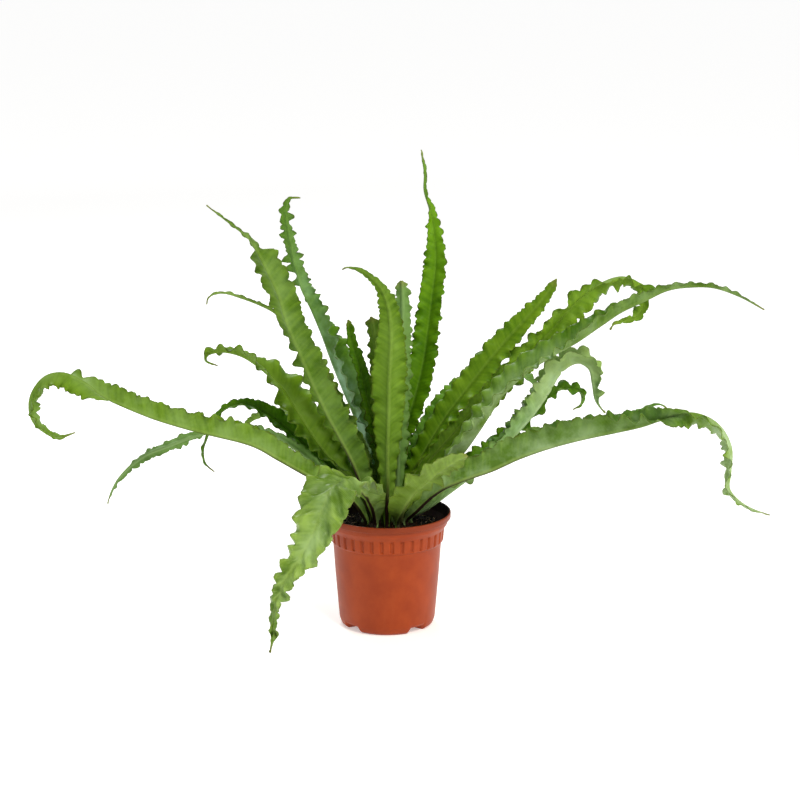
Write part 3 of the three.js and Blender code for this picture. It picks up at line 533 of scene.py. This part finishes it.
            [212, 74, 359], [233, 76, 380], [256, 78, 395], [277, 79, 401], [294, 80, 396], [304, 81, 382],
            [304, 82, 364], [296, 83, 353], [283, 82, 349], [272, 80, 346], [265, 78, 338]],
        width=[10, 20, 32, 36, 36, 36, 36, 36, 32, 25, 12, 3], twist=[0, 15, 30, 40, 40, 40, 40, 60, 90, 60, 40],
        fold=[50, 40, 30, 25, 25, 30, 30, 30, 20, 20, 20]),
    "frondRightArch": dict(azimuth=-2, leaf="pale", tone=[-0.2, -0.2, 0.1, 1.2, 0], rib=[0.15, 0.15],
        stain=[0.3, 0, 0], sheen=[0.5, 0.5], sheenAlong=[0.4, 0.4, 0.9, 1, 0.3], lobe=1.5, frill=[1, 1.6, 2], crinkle=3,
        swell=3,
        route=[[46, 0, 139], [74, 0, 160], [107, 1, 186], [135, 3, 213], [158, 5, 237], [176, 7, 259], [189, 8, 279],
            [199, 9, 297], [211, 9, 309], [224, 9, 313], [236, 9, 305], [240, 9, 288], [244, 9, 268], [255, 9, 253]],
        width=[14, 18, 20, 22, 26, 33, 39, 41, 38, 24, 4], fold=[50, 50, 50, 55, 55, 60, 65, 65, 60, 40, 30]),
    "frondRightCurl": dict(azimuth=22, ring=18, leaf="deep", tone=[0.45, 0.6, 0.6], stain=[0.4, 0, 0],
        sheen=[0.05, 0.05], lobe=1.4, frill=[1, 1.8, 2], crinkle=2,
        route=[[29, 13, 142], [55, 20, 161], [86, 29, 176], [120, 36, 195], [150, 40, 220], [175, 41, 246],
            [194, 41, 268], [211, 41, 275], [227, 41, 272], [230, 41, 257], [220, 40, 249]],
        width=[10, 19, 25, 28, 31, 31, 28, 24, 18, 12, 4], twist=[0, 15, 30, 30, 30, 30],
        fold=[50, 40, 35, 30, 30, 30]),
    "frondRightBehind": dict(azimuth=34, leaf="deep", tone=[0.3, 0.45, 0.55], stain=[0.6, 0.3, 0],
        route=[[46, 27, 140], [80, 50, 163], [133, 70, 184], [188, 82, 204], [242, 88, 218], [279, 92, 224],
            [306, 94, 235], [327, 95, 243], [340, 95, 237]],
        width=[16, 22, 30, 34, 34, 32, 28, 20, 14, 8, 3], fold=[50, 50, 50, 50, 45, 40, 30, 20]),
    "frondBackArch": dict(azimuth=90, tone=[0.4, 0.5, 0.55], rib=[0.15, 0.15], stain=[1, 0.6, 0, 0],
        route=[[1, 42, 150], [3, 74, 192], [6, 114, 234], [7, 160, 266], [4, 210, 280], [-4, 256, 272], [-10, 294, 246],
            [-12, 318, 214]],
        width=[16, 24, 34, 40, 40, 36, 30, 20, 10, 3], twist=[0, 0, 0, 20], fold=[50, 35, 25, 25, 30, 20]),
    "frondBackLow": dict(azimuth=120, tone=[0.4, 0.5, 0.55], rib=[0.15, 0.15], stain=[1, 0.5, 0, 0],
        route=[[-24, 42, 148], [-48, 80, 180], [-82, 126, 204], [-120, 170, 212], [-158, 208, 202], [-188, 236, 178]],
        width=[16, 26, 38, 42, 38, 30, 20, 3], twist=[0, 0, 0, 30], fold=[50, 40, 35, 35, 20]),
    "frondBackRight": dict(azimuth=64, leaf="deep", tone=[0.4, 0.5, 0.55], rib=[0.15, 0.15], stain=[1, 0.6, 0, 0],
        route=[[22, 50, 150], [46, 90, 196], [76, 132, 234], [112, 170, 258], [150, 206, 260], [180, 238, 240],
            [204, 260, 208]],
        width=[16, 26, 36, 40, 36, 28, 18, 3], twist=[0, 0, 0, -30], fold=[50, 35, 30, 30, 20]),
    "frondBackTall": dict(azimuth=94, ring=21, leaf="deep", tone=[0.35, 0.4, 0.5], rib=[0.15, 0.15],
        stain=[0.8, 0.3, 0],
        route=[[4, 32, 155], [8, 56, 215], [11, 83, 278], [14, 103, 330], [16, 117, 362]],
        width=[11, 22, 28, 30, 26, 16, 3], fold=[50, 30, 20, 20]),
}

bladeForm = {  # mm, and shares of the blade's own sizes
    "rootHeight": 114, "rootWidth": 7, "rootRises": (0, 8, 16), "stemLength": 26, "widens": (8, 38), "settle": 40,
    "fineSteps": 40,           # points worked out between two places of a route
    "shoulderEdge": 0.35,
    "rowStep": 1.1,            # between rows of faces
    "columnStep": 1.8, "fewestColumns": 7,
    "columnSpread": 1.1,       # columns are closer together near the midrib
    "waveBase": 11.5, "waveGrowth": 0.2, "ruffle": 0.13, "scallop": 0.07, "drift": 1.9, "uneven": 0.9,
    "unevenBeat": 5.3, "seedTurn": 1.7, "waveHeight": (0.8, 0.35), "heightBeat": 4.7, "waveCurve": 2.2,
    "mainShare": 0.62,         # how much of the solid's long wave there is
    "lobeLong": (5, 12.5),     # along the margin from notch to notch
    "lobeDeep": (0.16, 0.42),  # how far it stands out, as a share of its length
    "lobeCurl": (0.1, 0.34),   # how far it curls up or down
    "lobeStart": 8,            # the first one starts up to this far before the root
    "lobeTurns": 0.8,          # share of them that curl the other way than the one before
    "lobeSkew": 0.85, "lobeRound": 0.6, "lobeSink": 0.62, "lobeCurve": 3, "curlCurve": 4,
    "lobesGrow": (34, 111),    # where they start, and where they are full size
    "fullWidth": 19,           # on a narrower blade they are smaller
    "pucker": 0.9,             # uneven swelling between the side veins
    "puckerSize": (7, 14),     # along and across the blade, as for the broad swelling
    "swellSize": (10, 24), "swellSlant": 0.7, "swellMost": 0.9,
    "fray": 1.1,               # fine unevenness of the very edge
    "frayStep": 2.6,
    "handApart": 9, "seedApart": 7,  # so that no two halves or blades share a pattern
    "bow": 0.10,               # how far each half bulges from flat
    "tipShare": 0.22,          # width of the very tip
    "thick": 0.7, "keel": 2.6, "keelWidth": 2.6, "keelTip": 0.35,
    "crestLightAndShade": 0.055, "crestMost": 6,  # painted highlight and shade: crests of the swelling are this much lighter per mm, and dips darker
}

leafMarks = ("tone", "rib", "stain", "sheen")


def marginLobes(length, size, dice):  # round lobes of uneven length, which curl up and down in turn
    form = bladeForm
    lobes, place, curl = [], -dice.uniform(0, form["lobeStart"]), 1
    while place < length:
        long = dice.uniform(*form["lobeLong"]) * size
        if dice.random() < form["lobeTurns"]:
            curl = -curl
        deep = long * dice.uniform(*form["lobeDeep"])
        lobes.append((place, long, deep, curl * long * dice.uniform(*form["lobeCurl"])))
        place += long
    return lobes


def bladeWidth(frond, share):  # a blade with a shoulder narrows at once, halfway between two places of its list
    low, high = frond["shoulder"]
    edge = bladeForm["shoulderEdge"]
    if high - low < 1 and low < share < high:
        share = low + (high - low) * smoothStep(
            share, low * (1 - edge) + high * edge, low * edge + high * (1 - edge))
    return readAlong(frond["width"], share)


def routeRows(frond):
    form = bladeForm
    angle = math.radians(frond["azimuth"])
    outward = Vector((math.cos(angle), math.sin(angle), 0))
    root = outward * frond["ring"]
    points = [Vector((root.x, root.y, form["rootHeight"] + rise)) for rise in form["rootRises"]]
    points += [Vector(point) for point in frond["route"]]
    ends = [points[0] * 2 - points[1]] + points + [points[-1] * 2 - points[-2]]
    fine = []
    for i in range(1, len(ends) - 2):  # Catmull-Rom through the route's points
        a, b, c, d = ends[i - 1:i + 3]
        for k in range(form["fineSteps"]):
            t = k / form["fineSteps"]
            fine.append(0.5 * (2 * b + (c - a) * t + (2 * a - 5 * b + 4 * c - d) * t ** 2
                               + (3 * b - a - 3 * c + d) * t ** 3))
    fine.append(points[-1])
    reach = [0.0]
    for a, b in zip(fine, fine[1:]):
        reach.append(reach[-1] + (b - a).length)
    length = reach[-1]
    steps = round(length / form["rowStep"])
    places, spot = [], 0
    for i in range(steps + 1):
        at = length * i / steps
        while spot < len(reach) - 2 and reach[spot + 1] < at:
            spot += 1
        share = (at - reach[spot]) / max(reach[spot + 1] - reach[spot], 1e-9)
        places.append(fine[spot].lerp(fine[spot + 1], share))
    rows, phase = [], 0
    side = Vector((-outward.y, outward.x, 0))
    for i, point in enumerate(places):
        share = i / steps
        at = share * length
        tangent = (places[min(i + 1, steps)] - places[max(i - 1, 0)]).normalized()
        side = (side - tangent * side.dot(tangent)).normalized()
        stem = smoothStep(at, *form["widens"])
        width = form["rootWidth"] + (bladeWidth(frond, share) - form["rootWidth"]) * stem
        turned = Quaternion(tangent, math.radians(readAlong(frond["twist"], share))) @ side
        rows.append({
            "at": at, "share": share, "width": width, "phase": phase, "point": point, "side": turned,
            "face": tangent.cross(turned), "fold": math.radians(readAlong(frond["fold"], share)),
            "left": length - at,
        })
        if at > form["stemLength"]:
            phase += 2 * math.pi * length / steps / (form["waveBase"] + form["waveGrowth"] * width)
    return rows


def marginRow(row, hand, seed, lobe, frond):  # what a row's half of the blade does, worked out once per row
    form = bladeForm
    drift = 0 if hand > 0 else form["drift"]
    uneven = math.sin(row["phase"] / form["unevenBeat"] + seed * form["seedTurn"] + drift)
    angle = row["phase"] + drift + form["uneven"] * uneven
    grown = smoothStep(row["at"], form["stemLength"], form["stemLength"] + form["settle"])
    low, more = form["waveHeight"]
    wave = math.sin(angle) * grown * (low + more * math.sin(angle / form["heightBeat"] + seed)) * form["mainShare"]
    tip = form["tipShare"] + (1 - form["tipShare"]) * smoothStep(row["left"], 0, frond["tip"])
    start, long, deep, curl = lobe
    t = min(max((row["at"] - start) / long, 0), 1)
    small = min(row["width"] / form["fullWidth"], 1) * tip * smoothStep(row["at"], *form["lobesGrow"])
    small *= readAlong(frond["frill"], row["share"])
    fray = noise.noise(Vector((row["at"] / form["frayStep"], hand * form["handApart"], seed)))
    return {
        "half": row["width"] / 2 * tip * (1 + form["scallop"] * wave),
        "notch": deep * small * (math.sin(math.pi * t ** form["lobeSkew"]) ** form["lobeRound"] - form["lobeSink"])
        + form["fray"] * small * fray,
        "curl": curl * small * math.sin(math.pi * t),
        "wave": form["ruffle"] * row["width"] * tip * wave,
        "pucker": form["pucker"] * grown * frond["crinkle"],
        "swell": frond["swell"] * grown * tip,
        "reach": row["side"] * (hand * math.cos(row["fold"])) + row["face"] * math.sin(row["fold"]),
        "lift": row["face"] * math.cos(row["fold"]) - row["side"] * (hand * math.sin(row["fold"])),
    }


def bladePoint(row, margin, out, hand, seed):
    form = bladeForm
    half = margin["half"] + margin["notch"] * out ** form["lobeCurve"]
    rise = margin["wave"] * out ** form["waveCurve"] + margin["curl"] * out ** form["curlCurve"]
    aside = half * out * hand
    along, across = form["puckerSize"]
    crease = noise.noise(Vector((row["at"] / along, aside / across, seed * form["seedApart"])))
    rise += margin["pucker"] * out * crease
    if margin["swell"]:
        along, across = form["swellSize"]
        slant = (row["at"] - form["swellSlant"] * abs(aside)) / along
        hump = noise.noise(Vector((slant, aside / across, seed)))
        rise += margin["swell"] * math.sin(math.pi * min(out, form["swellMost"])) * hump
    bow = form["bow"] * half * 4 * out * (1 - out)
    return row["point"] + margin["reach"] * (half * out) + margin["lift"] * (rise + bow), aside, rise


def makeFrond(name, frond, seed, leaves):
    form = bladeForm
    rows = routeRows(frond)
    steps = len(rows) - 1
    margins = {}
    for hand in (1, -1):
        lobes = marginLobes(rows[-1]["at"], frond["lobe"], random.Random(seed * 2 + max(hand, 0)))
        spot = 0
        margins[hand] = []
        for row in rows:
            while spot < len(lobes) - 1 and lobes[spot + 1][0] <= row["at"]:
                spot += 1
            margins[hand].append(marginRow(row, hand, seed, lobes[spot], frond))
    bm = bmesh.new()
    columns = 2 * max(form["fewestColumns"], round(max(frond["width"]) / 2 / form["columnStep"]))
    bmesh.ops.create_grid(bm, x_segments=columns, y_segments=steps, size=1.0)
    bladeMap = bm.loops.layers.uv.new("bladeMap")    # metres across and along the blade
    shareMap = bm.loops.layers.uv.new("shareMap")    # shares of the half width and of the length
    marks = {key: bm.verts.layers.float.new(key) for key in leafMarks}
    keel = bm.verts.layers.deform.verify()
    maps = {}
    for vert in bm.verts:
        i = min(max(round((vert.co.y + 1) / 2 * steps), 0), steps)
        row = rows[i]
        across = -math.copysign(abs(vert.co.x) ** form["columnSpread"], vert.co.x)
        hand = 1 if across >= 0 else -1
        vert.co, aside, rise = bladePoint(row, margins[hand][i], abs(across), hand, seed)
        vert.co *= mm
        taper = form["keelTip"] + (1 - form["keelTip"]) * (1 - row["share"])
        vert[keel][0] = max(0, 1 - abs(aside) / form["keelWidth"]) * taper
        for key in ("tone", "rib", "stain"):
            vert[marks[key]] = readAlong(frond[key], row["share"])
        # painted highlight on the surface's crests and painted shade in its dips, added to the frond's tone
        vert[marks["tone"]] += form["crestLightAndShade"] * min(max(rise, -form["crestMost"]), form["crestMost"])
        # sheen across the blade and along it: partly the leaf's own wax, partly a painted highlight
        vert[marks["sheen"]] = readAlong(frond["sheen"], (across + 1) / 2) * readAlong(frond["sheenAlong"], row["share"])
        maps[vert.index] = (aside * mm, row["at"] * mm, abs(across), row["share"])
    for face in bm.faces:
        for loop in face.loops:
            aside, at, out, share = maps[loop.vert.index]
            loop[bladeMap].uv = (aside, at)
            loop[shareMap].uv = (out, share)
    piece = finishPiece(bm, "blade" + name[5:], leaves[frond["leaf"]])
    piece.vertex_groups.new(name="keel")
    skin = piece.modifiers.new("skin", "SOLIDIFY")
    skin.thickness = form["keel"] * mm
    skin.offset = -1
    skin.vertex_group = "keel"
    skin.thickness_vertex_group = form["thick"] / form["keel"]
    skin.material_offset = 1
    skin.material_offset_rim = 1
    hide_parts(name)


# fern leaf: thin, leathery and half glossy, with fine side veins, a lighter, duller underside, and a sheen that is
# partly the leaf's own wax and partly a painted highlight
leafLooks = {
    "young": dict(dark="#557517", light="#82A03A", vein="#94B04C", rib="#9FB35C", edge="#55611C", sheen="#AECB92",
                  under="#74922A", underDark="#506A0C", underVein="#7F9C34", gloss=0.36, shine=0.2),
    "green": dict(dark="#386000", light="#678A18", vein="#779828", rib="#8EA552", edge="#444E12", sheen="#9CB586",
                  under="#688A1C", underDark="#416204", underVein="#71912C", gloss=0.38, shine=0.1),
    "deep": dict(dark="#2F5C01", light="#5C880C", vein="#68901C", rib="#74924A", edge="#4C4418", sheen="#A4CCA6",
                 under="#5C8226", underDark="#3A610E", underVein="#5A7F2A", gloss=0.4, shine=0.1),
    "pale": dict(dark="#4F7A26", light="#86A450", vein="#98B262", rib="#AAC28C", edge="#54662A", sheen="#A6C3A0",
                 under="#8CA85A", underDark="#60843A", underVein="#88A55C", gloss=0.42, shine=0.14),
}
leafFinish = {  # the same on every frond
    "root": "#24140E", "speckled": "#4E3A1C", "dry": "#7E7A3A",
    "patch": 34 * mm, "streak": 5 * mm, "streakLong": 0.12, "streakShare": 0.9, "speck": 2.2 * mm,
    "veinGap": 1.7 * mm, "veinLean": 0.5, "waveGap": 0.314,  # metres between the bands of a wave of scale 1
    "edgePatch": 6 * mm, "ribShare": 0.5,
    "skin": 0.9 * mm, "skinShare": 0.35,  # real skin is finer; drawn coarser so that it shows
    "relief": 0.2, "underRelief": 0.35, "underRough": 0.12, "roughSpread": (-0.08, 0.12),
}


def leafMaterial(name, look, under):
    finish = leafFinish
    material, add = newMaterial(name)
    place = add("TexCoord").outputs["Object"]
    blade, share = [add("SeparateXYZ", links={0: add("UVMap", {"uv_map": key})}) for key in ("bladeMap", "shareMap")]
    tone, rib, stain, sheen = [add("Attribute", {"attribute_name": key}).outputs["Fac"] for key in leafMarks]
    aside = add("Math", {"operation": "ABSOLUTE"}, {0: blade})
    # side veins lean forward from the midrib, and so do the streaks between them
    lean = add("Math", {"operation": "MULTIPLY", 1: -finish["veinLean"]}, {0: aside})
    line = add("Math", {"operation": "ADD"}, {0: blade.outputs[1], 1: lean})
    slanted = add("CombineXYZ", links={0: line, 1: aside})
    # soft patches and streaks of lighter and darker green, shifted by the frond's own tone and by the painted highlight
    # and shade of its crests and dips
    patch = add("TexNoise", {"Scale": 1 / finish["patch"], "Detail": 5.0, "Roughness": 0.62}, {"Vector": place})
    streakPlace = add("Mapping", {"Scale": (1 / finish["streak"], finish["streakLong"] / finish["streak"], 1)},
                      {"Vector": slanted})
    streak = add("TexNoise", {"Scale": 1.0, "Detail": 3.0}, {"Vector": streakPlace})
    uneven = add("Math", {"operation": "MULTIPLY_ADD", 1: finish["streakShare"]}, {0: streak, 2: patch})
    shadedTone = add("Math", {"operation": "ADD"}, {0: uneven, 1: tone})
    spread = add("MapRange", {"From Min": 1.16, "From Max": 1.74}, {"Value": shadedTone})
    light, dark, veinColour = ("under", "underDark", "underVein") if under else ("light", "dark", "vein")
    colour = add("Mix", {"data_type": "RGBA", 6: linear(look[dark]), 7: linear(look[light])}, {0: spread}).outputs[2]
    vein = add("TexWave", {
        "wave_type": "BANDS", "bands_direction": "X", "Scale": finish["waveGap"] / finish["veinGap"],
        "Distortion": 2.2, "Detail": 2.0, "Detail Scale": 0.4}, {"Vector": slanted})
    veinMask = add("MapRange", {"From Min": 0.62, "To Max": 0.2}, {"Value": vein.outputs["Fac"]})
    # sheen: partly the leaf's own bluish wax and partly a painted highlight, strongest beside the midrib
    sheenBesideRib = add("MapRange", {"From Min": 3 * mm, "From Max": 16 * mm, "To Min": 1.0, "To Max": 0.4}, {"Value": aside})
    sheenPatch = add("MapRange", {"From Min": 0.38, "From Max": 0.62, "To Min": 0.1}, {"Value": patch})
    # the midrib: a pale band, with a dark brown middle that widens towards the root
    ribBand = add("MapRange", {
        "interpolation_type": "SMOOTHSTEP", "From Min": 1.2 * mm, "From Max": 3.2 * mm, "To Min": 1.0, "To Max": 0.0},
        {"Value": aside})
    flanks = add("Math", {"operation": "MULTIPLY", 1: finish["ribShare"]}, {0: stain})
    pale = add("Math", {"operation": "MAXIMUM"}, {0: flanks, 1: rib})
    rootWidth = add("MapRange", {"From Min": 30 * mm, "From Max": 100 * mm, "To Min": 1.5 * mm, "To Max": 0.6 * mm},
                    {"Value": blade.outputs[1]})
    stainWidth = add("Math", {"operation": "MULTIPLY"}, {0: rootWidth, 1: stain})
    nearRoot = add("Math", {"operation": "SUBTRACT"}, {0: stainWidth, 1: aside})
    rootBand = add("MapRange", {"From Min": -0.5 * mm, "From Max": 0.5 * mm}, {"Value": nearRoot})
    # a darker edge that comes and goes, brown specks near the margin, and a yellowed tip
    edgePatch = add("TexNoise", {"Scale": 1 / finish["edgePatch"]}, {"Vector": place})
    edgeNoise = add("MapRange", {"From Min": 0.42, "From Max": 0.6, "To Max": 0.7}, {"Value": edgePatch})
    edgeNear = add("MapRange", {"From Min": 0.88}, {"Value": share})
    speck = add("TexNoise", {"Scale": 1 / finish["speck"], "Detail": 2.0}, {"Vector": place})
    speckEdge = add("MapRange", {"From Min": 0.5, "To Min": -0.2, "To Max": 0.04}, {"Value": share})
    speckSum = add("Math", {"operation": "ADD"}, {0: speck, 1: speckEdge})
    speckMask = add("MapRange", {"From Min": 0.69, "From Max": 0.74, "To Max": 0.75}, {"Value": speckSum})
    tipMask = add("MapRange", {"From Min": 0.965, "To Max": 0.6}, {"Value": share.outputs[1]})
    # the sheen coat is partly the wax's own paleness and partly a painted highlight
    coats = [
        (look[veinColour], veinMask), (look["sheen"], sheenBesideRib, sheenPatch, sheen), (look["rib"], ribBand, pale),
        (finish["root"], rootBand, stain), (look["edge"], edgeNear, edgeNoise), (finish["speckled"], speckMask),
        (finish["dry"], tipMask),
    ]
    for coat, mask, *more in coats:  # each lies over those before, where all its masks do
        for other in more:
            mask = add("Math", {"operation": "MULTIPLY"}, {0: mask, 1: other})
        colour = add("Mix", {"data_type": "RGBA", 7: linear(coat)}, {0: mask, 6: colour}).outputs[2]
    # raised veins and a fine leathery skin
    skin = add("TexNoise", {"Scale": 1 / finish["skin"], "Detail": 3.0}, {"Vector": place})
    relief = add("Math", {"operation": "MULTIPLY_ADD", 1: finish["skinShare"]}, {0: skin, 2: vein.outputs["Fac"]})
    bump = add("Bump", {"Strength": finish["underRelief" if under else "relief"], "Distance": 0.25 * mm},
               {"Height": relief})
    smooth, rough = [look["gloss"] + (finish["underRough"] if under else 0) + step for step in finish["roughSpread"]]
    gloss = add("MapRange", {"To Min": smooth, "To Max": rough}, {"Value": patch})
    shader = add("BsdfPrincipled", {"IOR": 1.45, "Specular IOR Level": look["shine"]},
                 {"Base Color": colour, "Roughness": gloss, "Normal": bump})
    add("OutputMaterial", links={"Surface": shader})
    return material


leaves = {name: [leafMaterial(name + "LeafUpper", look, False), leafMaterial(name + "LeafUnder", look, True)]
          for name, look in leafLooks.items()}
for seed, (name, frond) in enumerate(fronds.items()):
    makeFrond(name, {**usualFrond, **frond}, seed, leaves)
print("fronds made:", len(fronds))


# crown: fibrous rootstock with brown papery scales and hairs round the stems

crownForm = {  # mm, radians and shares of a scale's own size
    "scales": 520, "hairs": 420, "seed": 11, "radius": 34, "ring": (0.02, 1.12), "top": 126, "shoulder": 119,
    "hair": {"long": (5, 13), "flat": 1, "sides": 3},
    "scale": {"long": (4, 9), "flat": 0.25, "sides": 4},
    "hairWidth": 0.16, "scaleWidth": (0.6, 1.3), "point": 0.08,
    "lean": (0.1, 0.9), "turn": 1.57, "unevenTurn": 0.5, "rise": 0.3,
}


def makeCrown():
    form = crownForm
    dice = random.Random(form["seed"])
    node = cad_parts["crown"]
    node.data.materials.clear()
    node.data.materials.append(earthMaterial("fibrousRootstock"))
    bm = bmesh.new()
    for i in range(form["scales"] + form["hairs"]):
        hair = i >= form["scales"]
        kind = form["hair" if hair else "scale"]
        radius = form["radius"] * math.sqrt(dice.uniform(*form["ring"]))
        angle = dice.uniform(0, 2 * math.pi)
        height = form["top"] - (form["top"] - form["shoulder"]) * min(radius / form["radius"], 1) ** 2
        long = dice.uniform(*kind["long"])
        wide = form["hairWidth"] if hair else dice.uniform(*form["scaleWidth"])
        tilt = Matrix.Rotation(dice.uniform(*form["lean"]) * radius / form["radius"], 4, "Y")
        roll = Matrix.Rotation(form["turn"] + dice.uniform(-form["unevenTurn"], form["unevenTurn"]), 4, "Z")
        spot = Matrix.Translation((radius * math.cos(angle) * mm, radius * math.sin(angle) * mm,
                                   (height + long * form["rise"]) * mm))
        bmesh.ops.create_cone(bm, cap_ends=True, segments=kind["sides"], radius1=wide * mm,
                              radius2=wide * form["point"] * mm, depth=long * mm,
                              matrix=spot @ Matrix.Rotation(angle, 4, "Z") @ tilt @ roll
                              @ Matrix.Diagonal((1, kind["flat"], 1, 1)))
    finishPiece(bm, "crownScales", [earthMaterial("paperyBrownScale")], False)


makeCrown()
print("crown made")
